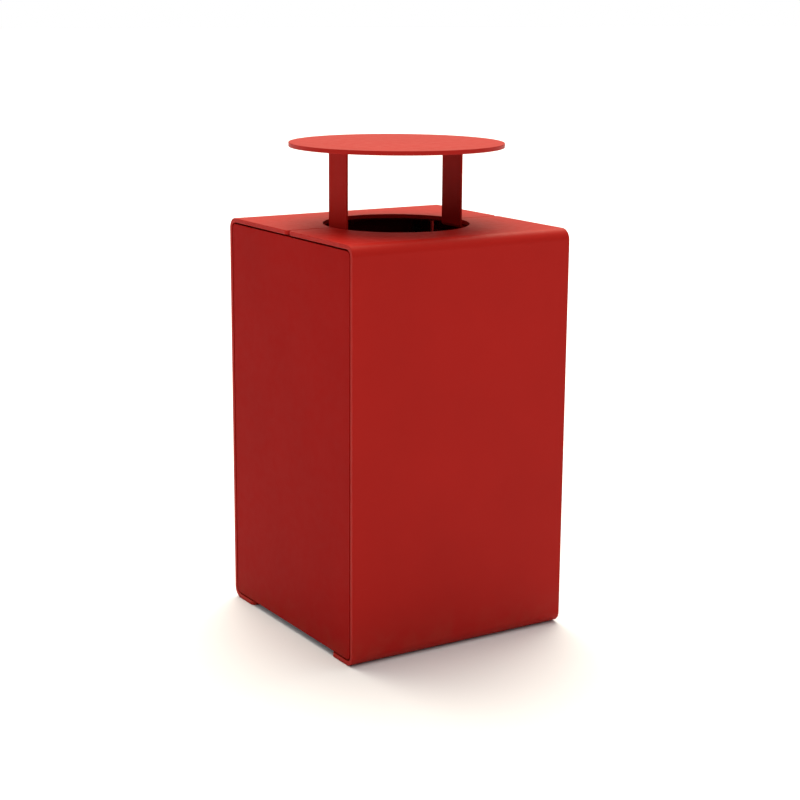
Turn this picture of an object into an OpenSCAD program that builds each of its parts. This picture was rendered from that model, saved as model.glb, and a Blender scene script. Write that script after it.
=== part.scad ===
// Square steel waste bin with a flat round roof on two posts.
// Two bent plate shells stand back to back and meet at a seam across the top, an inner
// frame ties them together, and a pivot door on the right lets the liner out.
// Millimetres, +Z up, origin on the ground at the middle. The front faces -Y.

/* [Body] */
// Width of the body, from side to side
body_w = 455; // [440:1:480]
// Depth of the body, from front to back
body_d = 455; // [440:1:480]
// Height of the body, from the ground to its top
body_h = 750; // [700:1:850]
// Thickness of the bent shell plate
plate_t = 8; // [6:1:9]
// Outer bend radius of the shells
bend_r = 21; // [19:1:24]
// Width of the seam between the shells
seam_gap = 2.5; // [1:0.5:4]
// Length of each bottom flange, from the outer face
flange_len = 75; // [70:1:78]
// Radius of the free corners of the shells, in plan
free_corner_r = 10; // [2:1:14]

/* [Side panels] */
// Thickness of the side panels
panel_t = 3; // [2:0.5:3]
// Gap between a side panel and the shells
panel_gap = 3; // [2.5:0.5:4]
// How far a side panel sits in from the edges of the shells
panel_recess = 0.5; // [0:0.5:1]

/* [Roof] */
// Diameter of the roof disc
roof_dia = 395; // [300:5:450]
// Thickness of the roof disc
roof_t = 8; // [5:1:12]
// Height of the throw-in gap under the roof
throw_gap = 140; // [100:5:220]
// Diameter of the hole in the top
hole_dia = 270; // [264:2:276]
// Width of the flat bar of the posts
post_w = 63; // [50:1:66]
// Thickness of the flat bar of the posts
post_t = 4; // [3:0.5:5]
// Distance from a post to the rim of the hole
post_rim_gap = 10; // [9:0.5:14]

/* [Inner frame] */
// Thickness of the sheet of the tray and the top panel
sheet_t = 3; // [2:0.5:3]
// Leg of the corner angles
upright_leg = 30; // [28:1:32]
// Thickness of the corner angles
upright_t = 3; // [2:0.5:4]
// Height of the folded lips against the shells
lip_h = 57; // [50:1:70]
// Half spacing of the four ground anchor holes
anchor_half = 120; // [100:5:130]
// Diameter of the ground anchor holes
anchor_dia = 13; // [9:1:14]

/* [Door] */
// Distance from the pivot axis to the outer face of the door
pivot_depth = 8; // [8:0.5:9]
// Distance from the pivot axis to the back edge of the door
pivot_tail = 18; // [17:0.5:19]
// Diameter of the pivot pins
pin_dia = 8; // [6:1:8]
// Running clearance of a pin in its bush, on the radius
pin_clear = 0.05; // [0.02:0.01:0.1]
// Height of the lock above the ground
lock_z = 400; // [300:10:500]

/* [Liner] */
// Outer width of the square liner
liner_w = 345; // [320:1:346]
// Height of the liner
liner_h = 600; // [500:5:620]
// Thickness of the sheet of the liner
liner_t = 1.5; // [1:0.5:2]
// Diameter of the rod of the drop handles
rod_dia = 8; // [6:1:8]

/* [Hidden] */
$fn = 96;

RED = [0.72, 0.15, 0.13];
ZINC = [0.66, 0.68, 0.70];
STEEL = [0.55, 0.56, 0.58];
BRASS = [0.75, 0.62, 0.30];
BLACK = [0.10, 0.10, 0.11];

eps = 1;                              // overshoot of a cutter past a face

// Space inside the shells
inner_w = body_w / 2;                 // half width, open at the sides
inner_d = body_d / 2 - plate_t;       // half depth
inner_r = bend_r - plate_t;           // inner bend radius
inner_top = body_h - plate_t;         // underside of the top flanges
flange_y = body_d / 2 - flange_len;   // free edge of a bottom flange

// Side panels
panel_face = body_w / 2 - panel_recess;
panel_back = panel_face - panel_t;
panel_d = 2 * (inner_d - panel_gap);
panel_h = body_h - 2 * (plate_t + panel_gap);
panel_r = max(inner_r - panel_gap, 2);

// Inner frame
frame_x = 200;                        // half width of the folded sheets
tongue_side_gap = 2;                  // from a tongue to a side panel
tongue_end_gap = 4;                   // from a tongue to a flange
tongue_x = panel_back - tongue_side_gap;   // half width of the tongues between the flanges
tongue_y = flange_y - tongue_end_gap;      // half depth of the tongues
tongue_lip = 15;                      // height of the upturned lip the liner is lifted over
upright_inset = 3;                    // from the edges of the folded sheets to the angles
upright_x = frame_x - upright_inset;  // outer face of the corner angles
upright_y = inner_d - sheet_t;
top_hole_margin = 6;                  // how much wider the hole in the top panel is, each side
top_hole_r = hole_dia / 2 + top_hole_margin;
drain_r = 6;
drain_pitch = 80;

// Fasteners: radius, nut width across flats, nut height
M8 = [4, 13, 6.5];
M8_THIN = [4, 13, 4];
M6 = [3, 10, 5];
M5 = [2.5, 8, 4];
hole_clear = 0.5;                     // clearance of a stud in its hole, on the radius
wall_stud_x = upright_x - upright_leg / 2;
wall_stud_up = 37;                    // from the inside of a flange to the wall studs
wall_stud_z = [plate_t + wall_stud_up, inner_top - wall_stud_up];
wall_stud_len = 22;
top_stud_x = 186;
top_stud_y = 45;
top_stud_len = 17;
foot_stud_x = 100;
foot_stud_in = 34;                    // from the inside of the face to the foot studs
foot_stud_y = inner_d - foot_stud_in;
panel_stud_y = upright_y - upright_leg / 2;
panel_stud_up = 150;
panel_stud_z = [panel_stud_up, body_h - panel_stud_up];
stud_proud = 4;                       // length of a panel stud past its nut
panel_stud_end = upright_x - upright_t - M6[2] - stud_proud;
spacer_r = 7;

// Roof and posts
post_x = hole_dia / 2 - post_rim_gap; // outer face of a post
post_bend = 4;                        // inner bend radius of the flat bar
roof_z = body_h + throw_gap;
post_foot_z = inner_top - sheet_t;    // the feet bear on the underside of the top panel
post_foot_end = 178;
post_tab_end = 76;
foot_hole_x = 160;
tab_hole_x = 96;
post_hole_y = 17;
roof_stud_len = 9;
post_stud_len = 18;
edge_chamfer = 0.8;                   // broken edge of the roof disc

// Door pivots
pivot_x = panel_face - pivot_depth;
pivot_y = panel_d / 2 - pivot_tail;
pin_r = pin_dia / 2;
bush_t = 1.5;                         // wall of a bush
bush_r = pin_r + bush_t;
bush_flange_r = 8;
bush_flange_h = 2;
socket_floor = 2;                     // the upper socket is blind, so the top stays closed
socket_depth = plate_t - socket_floor;
lug_d = 18;                           // along the panel
lug_w = 14;                           // out from the panel
lug_h = 15;
pivot_play = 0.3;                     // between the lower lug and its bush
pin_end_gap = 0.5;                    // between the upper pin and the end of its socket
lower_lug_z = plate_t + bush_flange_h + pivot_play;
lift_room = 4;                        // room to lift the door in, over the upper lug
upper_lug_z = inner_top - bush_flange_h - lift_room - lug_h;
pin_head_r = 5;
pin_head_h = 3;
stile_depth = 18;
stile_w = 30;
stile_t = 2;
stile_z = 45;
hinge_stile_y = 165;
lock_stile_y = -130;

// Lock
lock_y = -175;
lock_head_r = 13;
lock_head_t = 1.5;
lock_body_r = 9;
lock_nut_size = [lock_body_r, 24, 5];
core_r = 6;
core_clear = 0.05;
cam_x = 202.5;
cam_t = 3;
cam_len = 31;
cam_w = 16;
cam_boss_r = 10;
cam_screw_r = 6;
cam_square = 7;
core_end = cam_x + cam_t;             // shoulder of the core against the cam
core_recess = 0.5;                    // face of the core behind the face of the panel
core_shoulder = 3;                    // length of the core past the housing
housing_x = core_end + core_shoulder; // inner end of the housing
key_r = 4.2;                          // radius round the triangular key recess
key_depth = 7;
keeper_h = 30;
keeper_t = 3;
keeper_lip_x = 208;
keeper_lip = 20;                      // length of the lip from the front of the keeper
keeper_foot = 26;                     // length of the foot on the upright
keeper_front = -213;
keeper_screw_y = -panel_stud_y;
keeper_screw_half = 9;                // half spacing of the keeper's screws
keeper_screw_z = [lock_z - keeper_screw_half, lock_z + keeper_screw_half];
buffer_r = 8;
buffer_bulb = 5;                      // length of the bulb behind the angle
buffer_bulb_r = 6;
buffer_gap = 0.3;
buffer_low = 150;                     // lower buffer, from the ground
buffer_high = 130;                    // upper buffer, from the top
buffer_z = [buffer_low, body_h - buffer_high];

// Liner and its handles
seat_gap = 0.3;
liner_z = plate_t + sheet_t + seat_gap;
liner_r = 20;
rim_w = 6;
rim_h = 8;
rod_r = rod_dia / 2;
rod_clear = 0.08;
rod_gap = 2.5;                        // from the rod to the wall of the liner
handle_x = liner_w / 2 + rod_r + rod_gap;
handle_down = 52;                     // from the top of the liner to the eyes
handle_z = liner_z + liner_h - handle_down;
handle_half = 50;
handle_drop = 35;
eye_y = 60;
eye_w = 8;
eye_h = 16;
eye_wall = 3;                         // metal of an eye round the rod
eye_reach = rod_r + eye_wall;         // from the axis of the rod to the end of an eye
pivot_past = 7;                       // length of the rod past the middle of an eye
pivot_end = eye_y + pivot_past;

// ---- outlines and small shapes ----

// Rectangle with rounded corners, centred
module rounded_rect(w, h, r) {
    square([w - 2 * r, h], center = true);
    square([w, h - 2 * r], center = true);
    for (sx = [-1, 1], sy = [-1, 1])
        translate([sx * (w / 2 - r), sy * (h / 2 - r)])
            circle(r);
}

// Extrudes a (Y, Z) outline along X, centred
module along_x(w) {
    rotate([90, 0, 90])
        linear_extrude(w, center = true)
            children();
}

// Extrudes an (X, Z) outline along Y, centred
module along_y(d) {
    rotate([90, 0, 0])
        linear_extrude(d, center = true)
            children();
}

// Cylinder along X from x0 to x1
module rod_x(x0, x1, r) {
    translate([x0, 0, 0])
        rotate([0, 90, 0])
            cylinder(r = r, h = x1 - x0);
}

// Cylinder along Y from y0 to y1
module rod_y(y0, y1, r) {
    translate([0, y0, 0])
        rotate([-90, 0, 0])
            cylinder(r = r, h = y1 - y0);
}

// Hexagon nut on its own axis, standing on Z = 0
module hex_nut(size) {
    difference() {
        cylinder(r = size[1] / sqrt(3), h = size[2], $fn = 6);
        translate([0, 0, -eps])
            cylinder(r = size[0], h = size[2] + 2 * eps);
    }
}

// Cutter that rounds the plan corner at (x, y); sx and sy point away from the plate
module corner_cutter(x, y, z, h, sx, sy, r) {
    translate([x - sx * r, y - sy * r, z])
        difference() {
            translate([sx > 0 ? 0 : -r - eps, sy > 0 ? 0 : -r - eps, 0])
                cube([r + eps, r + eps, h]);
            translate([0, 0, -eps])
                cylinder(r = r, h = h + 2 * eps);
        }
}

// Closed ring of plate seen from the side, between two nested rounded rectangles
module ring_outline(d, h, r, t) {
    translate([0, body_h / 2])
        difference() {
            rounded_rect(d, h, r);
            rounded_rect(d - 2 * t, h - 2 * t, r - t);
        }
}

// ---- shells ----

// The front shell: face, half of the top and the short bottom flange, bent from one plate
module bent_shell() {
    difference() {
        along_x(body_w)
            difference() {
                ring_outline(body_d, body_h, bend_r, plate_t);
                translate([-seam_gap / 2, -eps])
                    square([body_d, body_h + 2 * eps]);
                translate([-flange_y, -eps])
                    square([body_d, body_h / 2]);
            }
        translate([0, 0, inner_top - eps])
            cylinder(r = hole_dia / 2, h = plate_t + 2 * eps);
        for (sx = [-1, 1]) {
            corner_cutter(sx * body_w / 2, -seam_gap / 2, inner_top - eps, plate_t + 2 * eps,
                          sx, 1, free_corner_r);
            corner_cutter(sx * body_w / 2, -flange_y, -eps, plate_t + 2 * eps,
                          sx, 1, free_corner_r);
        }
    }
}

// Weld studs on the inside of the front shell: four to the uprights, two up into the
// tray and two down through the top panel
module shell_studs() {
    for (sx = [-1, 1]) {
        for (z = wall_stud_z)
            translate([sx * wall_stud_x, 0, z])
                rod_y(-inner_d, wall_stud_len - inner_d, M8[0]);
        translate([sx * top_stud_x, -top_stud_y, inner_top - top_stud_len])
            cylinder(r = M8[0], h = top_stud_len);
        translate([sx * foot_stud_x, -foot_stud_y, plate_t])
            cylinder(r = M8[0], h = top_stud_len);
    }
}

module front_shell() {
    color(RED)
        bent_shell();
}

module back_shell() {
    color(RED)
        difference() {
            mirror([0, 1, 0])
                bent_shell();
            translate([pivot_x, pivot_y, -eps])
                cylinder(r = bush_r, h = plate_t + 2 * eps);
            translate([pivot_x, pivot_y, inner_top - eps])
                cylinder(r = bush_r, h = socket_depth + eps);
        }
}

module front_shell_studs() {
    color(ZINC)
        shell_studs();
}

module back_shell_studs() {
    color(ZINC)
        mirror([0, 1, 0])
            shell_studs();
}

module shell_nuts() {
    color(ZINC)
        for (sx = [-1, 1], sy = [-1, 1]) {
            for (z = wall_stud_z)
                translate([sx * wall_stud_x, sy * (upright_y - upright_t), z])
                    rotate([sy * 90, 0, 0])
                        hex_nut(M8);
            translate([sx * top_stud_x, sy * top_stud_y, inner_top - sheet_t - M8[2]])
                hex_nut(M8);
            translate([sx * foot_stud_x, sy * foot_stud_y, plate_t + sheet_t])
                hex_nut(M8);
        }
}

// ---- inner frame ----

// Holes for the shell studs in the lips and in the flat of a folded sheet
module stud_holes(z_wall, x_flat, y_flat, z_flat) {
    for (sx = [-1, 1], sy = [-1, 1]) {
        translate([sx * wall_stud_x, 0, z_wall])
            rod_y(sy > 0 ? inner_d - sheet_t - eps : -inner_d - eps,
                  sy > 0 ? inner_d + eps : -inner_d + sheet_t + eps, M8[0] + hole_clear);
        translate([sx * x_flat, sy * y_flat, z_flat - eps])
            cylinder(r = M8[0] + hole_clear, h = sheet_t + 2 * eps);
    }
}

// Folded tray that lies on the bottom flanges and nests in the lower bends
module base_tray() {
    color(ZINC)
        difference() {
            union() {
                along_x(2 * frame_x)
                    intersection() {
                        ring_outline(2 * inner_d, body_h - 2 * plate_t, inner_r, sheet_t);
                        translate([-body_d / 2, 0])
                            square([body_d, plate_t + lip_h]);
                    }
                translate([-tongue_x, -tongue_y, plate_t])
                    cube([2 * tongue_x, 2 * tongue_y, sheet_t]);
                for (sx = [-1, 1])
                    translate([sx > 0 ? tongue_x - sheet_t : -tongue_x, -tongue_y, plate_t])
                        cube([sheet_t, 2 * tongue_y, sheet_t + tongue_lip]);
            }
            stud_holes(wall_stud_z[0], foot_stud_x, foot_stud_y, plate_t);
            for (sx = [-1, 1], sy = [-1, 1])
                translate([sx * anchor_half, sy * anchor_half, plate_t - eps])
                    cylinder(r = anchor_dia / 2, h = sheet_t + 2 * eps);
            for (i = [-1, 0, 1])
                translate([0, i * drain_pitch, plate_t - eps])
                    cylinder(r = drain_r, h = sheet_t + 2 * eps);
        }
}

// Folded panel under the top flanges; it carries both shells and the roof posts
module top_panel() {
    color(RED)
        difference() {
            union() {
                along_x(2 * frame_x)
                    intersection() {
                        ring_outline(2 * inner_d, body_h - 2 * plate_t, inner_r, sheet_t);
                        translate([-body_d / 2, inner_top - lip_h])
                            square([body_d, lip_h]);
                    }
                translate([-tongue_x, -tongue_y, inner_top - sheet_t])
                    cube([2 * tongue_x, 2 * tongue_y, sheet_t]);
            }
            stud_holes(wall_stud_z[1], top_stud_x, top_stud_y, inner_top - sheet_t);
            translate([0, 0, inner_top - sheet_t - eps])
                cylinder(r = top_hole_r, h = sheet_t + 2 * eps);
        }
}

// Corner angle, for the front right corner; screw_z and screw_r drill its side leg
module corner_angle(screw_z, screw_y, screw_r) {
    difference() {
        translate([0, 0, bend_r])
            linear_extrude(body_h - 2 * bend_r) {
                translate([upright_x - upright_leg, -upright_y])
                    square([upright_leg, upright_t]);
                translate([upright_x - upright_t, -upright_y])
                    square([upright_t, upright_leg]);
            }
        for (z = wall_stud_z)
            translate([wall_stud_x, 0, z])
                rod_y(-upright_y - eps, -upright_y + upright_t + eps, M8[0] + hole_clear);
        for (z = screw_z)
            translate([0, screw_y, z])
                rod_x(upright_x - upright_t - eps, upright_x + eps, screw_r);
    }
}

module upright_front_left() {
    color(RED)
        mirror([1, 0, 0])
            corner_angle(panel_stud_z, -panel_stud_y, M6[0] + hole_clear);
}

module upright_front_right() {
    color(RED)
        difference() {
            corner_angle(buffer_z, -panel_stud_y, M6[0] + hole_clear);
            for (z = keeper_screw_z)
                translate([0, keeper_screw_y, z])
                    rod_x(upright_x - upright_t - eps, upright_x + eps, M5[0] + hole_clear);
        }
}

module upright_back_left() {
    color(RED)
        mirror([0, 1, 0])
            mirror([1, 0, 0])
                corner_angle(panel_stud_z, -panel_stud_y, M6[0] + hole_clear);
}

module upright_back_right() {
    color(RED)
        mirror([0, 1, 0])
            corner_angle([], 0, 0);
}

// ---- side panel on the left, fixed from inside ----

// Flat panel at the right side; the left one is its mirror image
module side_plate() {
    translate([panel_back + panel_t / 2, 0, body_h / 2])
        along_x(panel_t)
            rounded_rect(panel_d, panel_h, panel_r);
}

module left_side_panel() {
    color(RED)
        mirror([1, 0, 0])
            side_plate();
}

// Repeats its children at the four fixing points of the left panel
module at_panel_studs() {
    for (sy = [-1, 1], z = panel_stud_z)
        translate([0, sy * panel_stud_y, z])
            children();
}

module side_panel_studs() {
    color(ZINC)
        at_panel_studs()
            rod_x(-panel_back, -panel_stud_end, M6[0]);
}

module side_panel_spacers() {
    color(ZINC)
        at_panel_studs()
            difference() {
                rod_x(-panel_back, -upright_x, spacer_r);
                rod_x(-panel_back - eps, -upright_x + eps, M6[0] + hole_clear);
            }
}

module side_panel_nuts() {
    color(ZINC)
        at_panel_studs()
            translate([-upright_x + upright_t, 0, 0])
                rotate([0, 90, 0])
                    hex_nut(M6);
}

// ---- roof ----

module roof_disc() {
    color(RED)
        translate([0, 0, roof_z])
            rotate_extrude()
                polygon([
                    [0, 0],
                    [roof_dia / 2 - edge_chamfer, 0],
                    [roof_dia / 2, edge_chamfer],
                    [roof_dia / 2, roof_t - edge_chamfer],
                    [roof_dia / 2 - edge_chamfer, roof_t],
                    [0, roof_t]
                ]);
}

// Quarter of a ring, for a bend; qx and qz pick the quadrant
module bend_quarter(x, z, qx, qz) {
    translate([x, z])
        intersection() {
            difference() {
                circle(post_bend + post_t);
                circle(post_bend);
            }
            translate([qx > 0 ? 0 : -post_bend - post_t, qz > 0 ? 0 : -post_bend - post_t])
                square(post_bend + post_t);
        }
}

// Right post: foot out under the top panel, flat bar up through the hole, tab in under the roof
module post() {
    difference() {
        along_y(post_w) {
            translate([post_x + post_bend, post_foot_z - post_t])
                square([post_foot_end - post_x - post_bend, post_t]);
            bend_quarter(post_x + post_bend, post_foot_z + post_bend, -1, -1);
            translate([post_x - post_t, post_foot_z + post_bend])
                square([post_t, roof_z - post_foot_z - 2 * post_bend - post_t]);
            bend_quarter(post_x - post_t - post_bend, roof_z - post_t - post_bend, 1, 1);
            translate([post_tab_end, roof_z - post_t])
                square([post_x - post_t - post_bend - post_tab_end, post_t]);
        }
        for (sy = [-1, 1]) {
            translate([foot_hole_x, sy * post_hole_y, post_foot_z - post_t - eps])
                cylinder(r = M8[0] + hole_clear, h = post_t + 2 * eps);
            translate([tab_hole_x, sy * post_hole_y, roof_z - post_t - eps])
                cylinder(r = M8[0] + hole_clear, h = post_t + 2 * eps);
        }
    }
}

module left_post() {
    color(RED)
        mirror([1, 0, 0])
            post();
}

module right_post() {
    color(RED)
        post();
}

// Repeats its children at the four points (x, post_hole_y) of the post feet or tabs
module at_post_holes(x, z) {
    for (sx = [-1, 1], sy = [-1, 1])
        translate([sx * x, sy * post_hole_y, z])
            children();
}

module roof_studs() {
    color(ZINC)
        at_post_holes(tab_hole_x, roof_z - roof_stud_len)
            cylinder(r = M8[0], h = roof_stud_len);
}

module roof_nuts() {
    color(ZINC)
        at_post_holes(tab_hole_x, roof_z - post_t - M8_THIN[2])
            hex_nut(M8_THIN);
}

module post_studs() {
    color(ZINC)
        at_post_holes(foot_hole_x, post_foot_z - post_stud_len)
            cylinder(r = M8[0], h = post_stud_len);
}

module post_nuts() {
    color(ZINC)
        at_post_holes(foot_hole_x, post_foot_z - post_t - M8[2])
            hex_nut(M8);
}

// ---- door on the right ----

module door_panel() {
    color(RED)
        difference() {
            side_plate();
            translate([0, lock_y, lock_z]) {
                rod_x(panel_back - eps, panel_face + eps, lock_body_r);
                rod_x(panel_face - lock_head_t, panel_face + eps, lock_head_r);
            }
        }
}

// Channel that stiffens the door, open towards the panel
module stile(y) {
    translate([panel_back - stile_depth, y - stile_w / 2, stile_z])
        difference() {
            cube([stile_depth, stile_w, body_h - 2 * stile_z]);
            translate([stile_t, stile_t, -eps])
                cube([stile_depth, stile_w - 2 * stile_t, body_h - 2 * stile_z + 2 * eps]);
        }
}

module door_hinge_stile() {
    color(RED)
        stile(hinge_stile_y);
}

module door_lock_stile() {
    color(RED)
        stile(lock_stile_y);
}

// Lug on the inside of the door that holds a pivot pin
module hinge_lug(z) {
    translate([0, 0, z])
        difference() {
            translate([panel_back - lug_w, pivot_y - lug_d / 2, 0])
                cube([lug_w, lug_d, lug_h]);
            translate([pivot_x, pivot_y, -eps])
                cylinder(r = pin_r, h = lug_h + 2 * eps);
        }
}

module upper_hinge_lug() {
    color(RED)
        hinge_lug(upper_lug_z);
}

module lower_hinge_lug() {
    color(RED)
        hinge_lug(lower_lug_z);
}

module upper_hinge_pin() {
    color(STEEL)
        translate([pivot_x, pivot_y, 0]) {
            translate([0, 0, upper_lug_z])
                cylinder(r = pin_r, h = inner_top + socket_depth - pin_end_gap - upper_lug_z);
            translate([0, 0, upper_lug_z - pin_head_h])
                cylinder(r = pin_head_r, h = pin_head_h);
        }
}

module lower_hinge_pin() {
    color(STEEL)
        translate([pivot_x, pivot_y, 0]) {
            translate([0, 0, pin_end_gap])
                cylinder(r = pin_r, h = lower_lug_z + lug_h - pin_end_gap);
            translate([0, 0, lower_lug_z + lug_h])
                cylinder(r = pin_head_r, h = pin_head_h);
        }
}

// Flanged bush; the body runs from Z = 0 to h and the flange lies beyond it
module flanged_bush(h) {
    difference() {
        union() {
            cylinder(r = bush_r, h = h);
            translate([0, 0, h])
                cylinder(r = bush_flange_r, h = bush_flange_h);
        }
        translate([0, 0, -eps])
            cylinder(r = pin_r + pin_clear, h = h + bush_flange_h + 2 * eps);
    }
}

module upper_hinge_bush() {
    color(BLACK)
        translate([pivot_x, pivot_y, inner_top + socket_depth])
            mirror([0, 0, 1])
                flanged_bush(socket_depth);
}

module lower_hinge_bush() {
    color(BLACK)
        translate([pivot_x, pivot_y, 0])
            flanged_bush(plate_t);
}

// ---- quarter-turn lock ----

module lock_housing() {
    color(STEEL)
        translate([0, lock_y, lock_z])
            difference() {
                union() {
                    rod_x(housing_x, panel_face - lock_head_t, lock_body_r);
                    rod_x(panel_face - lock_head_t, panel_face, lock_head_r);
                }
                rod_x(housing_x - eps, panel_face + eps, core_r + core_clear);
            }
}

module lock_nut() {
    color(STEEL)
        translate([panel_back - lock_nut_size[2], lock_y, lock_z])
            rotate([0, 90, 0])
                hex_nut(lock_nut_size);
}

// Turning core: a triangular key recess outside, a square inside that drives the cam
module lock_core() {
    color(BRASS)
        translate([0, lock_y, lock_z])
            difference() {
                union() {
                    rod_x(core_end, panel_face - core_recess, core_r);
                    translate([cam_x, -cam_square / 2, -cam_square / 2])
                        cube([cam_t, cam_square, cam_square]);
                }
                translate([panel_face - key_depth, 0, 0])
                    rotate([0, 90, 0])
                        cylinder(r = key_r, h = key_depth + eps, $fn = 3);
            }
}

// Cam, at rest pointing down and clear of the keeper
module lock_cam() {
    color(ZINC)
        translate([cam_x + cam_t / 2, lock_y, lock_z])
            along_x(cam_t)
                difference() {
                    union() {
                        circle(cam_boss_r);
                        translate([-cam_w / 2, cam_w / 2 - cam_len])
                            square([cam_w, cam_len - cam_w / 2]);
                        translate([0, cam_w / 2 - cam_len])
                            circle(cam_w / 2);
                    }
                    square(cam_square, center = true);
                }
}

module cam_screw() {
    color(ZINC)
        translate([cam_x - M5[2], lock_y, lock_z])
            rotate([0, 90, 0])
                cylinder(r = cam_screw_r, h = M5[2]);
}

// Bracket on the front right upright; the cam turns in behind its lip
module lock_keeper() {
    color(ZINC)
        difference() {
            translate([0, 0, lock_z - keeper_h / 2])
                linear_extrude(keeper_h) {
                    translate([upright_x, keeper_front])
                        square([keeper_t, keeper_foot]);
                    translate([upright_x, keeper_front])
                        square([keeper_lip_x + keeper_t - upright_x, keeper_t]);
                    translate([keeper_lip_x, keeper_front])
                        square([keeper_t, keeper_lip]);
                }
            for (z = keeper_screw_z)
                translate([0, keeper_screw_y, z])
                    rod_x(upright_x - eps, upright_x + keeper_t + eps, M5[0]);
        }
}

module keeper_screws() {
    color(ZINC)
        for (z = keeper_screw_z)
            translate([0, keeper_screw_y, z]) {
                rod_x(upright_x - upright_t, upright_x + keeper_t, M5[0]);
                rod_x(upright_x - upright_t - M5[2], upright_x - upright_t, M5[1] / 2);
            }
}

// Push-in rubber buffers that the closed door rests against
module door_buffers() {
    color(BLACK)
        for (z = buffer_z)
            translate([0, -panel_stud_y, z]) {
                rod_x(upright_x, panel_back - buffer_gap, buffer_r);
                rod_x(upright_x - upright_t, upright_x, M6[0]);
                rod_x(upright_x - upright_t - buffer_bulb, upright_x - upright_t, buffer_bulb_r);
            }
}

// ---- liner ----

module liner() {
    color(ZINC)
        translate([0, 0, liner_z])
            difference() {
                union() {
                    linear_extrude(liner_h)
                        rounded_rect(liner_w, liner_w, liner_r);
                    translate([0, 0, liner_h - rim_h])
                        linear_extrude(rim_h)
                            rounded_rect(liner_w + 2 * rim_w, liner_w + 2 * rim_w,
                                         liner_r + rim_w);
                }
                translate([0, 0, liner_t])
                    linear_extrude(liner_h)
                        rounded_rect(liner_w - 2 * liner_t, liner_w - 2 * liner_t,
                                     liner_r - liner_t);
            }
}

// Two eyes on the right wall of the liner, bored for the ends of the drop handle
module handle_eyes() {
    for (sy = [-1, 1])
        difference() {
            translate([liner_w / 2, sy * eye_y - eye_w / 2, handle_z - eye_h / 2])
                cube([handle_x - liner_w / 2 + eye_reach, eye_w, eye_h]);
            translate([handle_x, 0, handle_z])
                rod_y(sy * eye_y - eye_w, sy * eye_y + eye_w, rod_r + rod_clear);
        }
}

// Drop handle of bent rod, hanging against the liner
module drop_handle() {
    translate([handle_x, 0, handle_z]) {
        for (sy = [-1, 1]) {
            rod_y(sy > 0 ? handle_half : -pivot_end, sy > 0 ? pivot_end : -handle_half, rod_r);
            translate([0, sy * handle_half, 0])
                sphere(rod_r);
            translate([0, sy * handle_half, -handle_drop])
                cylinder(r = rod_r, h = handle_drop);
            translate([0, sy * handle_half, -handle_drop])
                sphere(rod_r);
        }
        translate([0, 0, -handle_drop])
            rod_y(-handle_half, handle_half, rod_r);
    }
}

module left_handle_eyes() {
    color(ZINC)
        mirror([1, 0, 0])
            handle_eyes();
}

module right_handle_eyes() {
    color(ZINC)
        handle_eyes();
}

module left_handle() {
    color(STEEL)
        mirror([1, 0, 0])
            drop_handle();
}

module right_handle() {
    color(STEEL)
        drop_handle();
}

front_shell();
back_shell();
front_shell_studs();
back_shell_studs();
shell_nuts();
base_tray();
top_panel();
upright_front_left();
upright_front_right();
upright_back_left();
upright_back_right();
left_side_panel();
side_panel_studs();
side_panel_spacers();
side_panel_nuts();
roof_disc();
left_post();
right_post();
roof_studs();
roof_nuts();
post_studs();
post_nuts();
door_panel();
door_hinge_stile();
door_lock_stile();
upper_hinge_lug();
lower_hinge_lug();
upper_hinge_pin();
lower_hinge_pin();
upper_hinge_bush();
lower_hinge_bush();
lock_housing();
lock_nut();
lock_core();
lock_cam();
cam_screw();
lock_keeper();
keeper_screws();
door_buffers();
liner();
left_handle_eyes();
right_handle_eyes();
left_handle();
right_handle();
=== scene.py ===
# Dog waste bin: the looks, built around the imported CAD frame. Metres, +Z up, front towards -Y.
import math

import bmesh
import bpy
from mathutils import Matrix, Vector


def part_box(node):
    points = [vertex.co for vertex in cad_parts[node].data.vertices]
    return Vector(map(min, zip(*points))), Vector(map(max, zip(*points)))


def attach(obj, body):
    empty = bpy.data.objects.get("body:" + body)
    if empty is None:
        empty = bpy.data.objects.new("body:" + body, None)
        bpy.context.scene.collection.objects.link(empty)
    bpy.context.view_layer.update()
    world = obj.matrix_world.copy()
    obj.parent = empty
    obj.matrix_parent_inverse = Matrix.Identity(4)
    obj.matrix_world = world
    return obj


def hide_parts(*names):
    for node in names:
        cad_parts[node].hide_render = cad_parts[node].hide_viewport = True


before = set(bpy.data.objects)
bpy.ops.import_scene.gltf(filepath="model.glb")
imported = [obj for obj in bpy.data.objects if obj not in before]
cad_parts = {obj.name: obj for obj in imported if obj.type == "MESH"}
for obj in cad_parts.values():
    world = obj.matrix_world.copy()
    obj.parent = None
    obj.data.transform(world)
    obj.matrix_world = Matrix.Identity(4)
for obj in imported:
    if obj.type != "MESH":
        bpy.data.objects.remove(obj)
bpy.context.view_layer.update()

SCENE = bpy.context.scene
MM = 0.001

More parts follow.
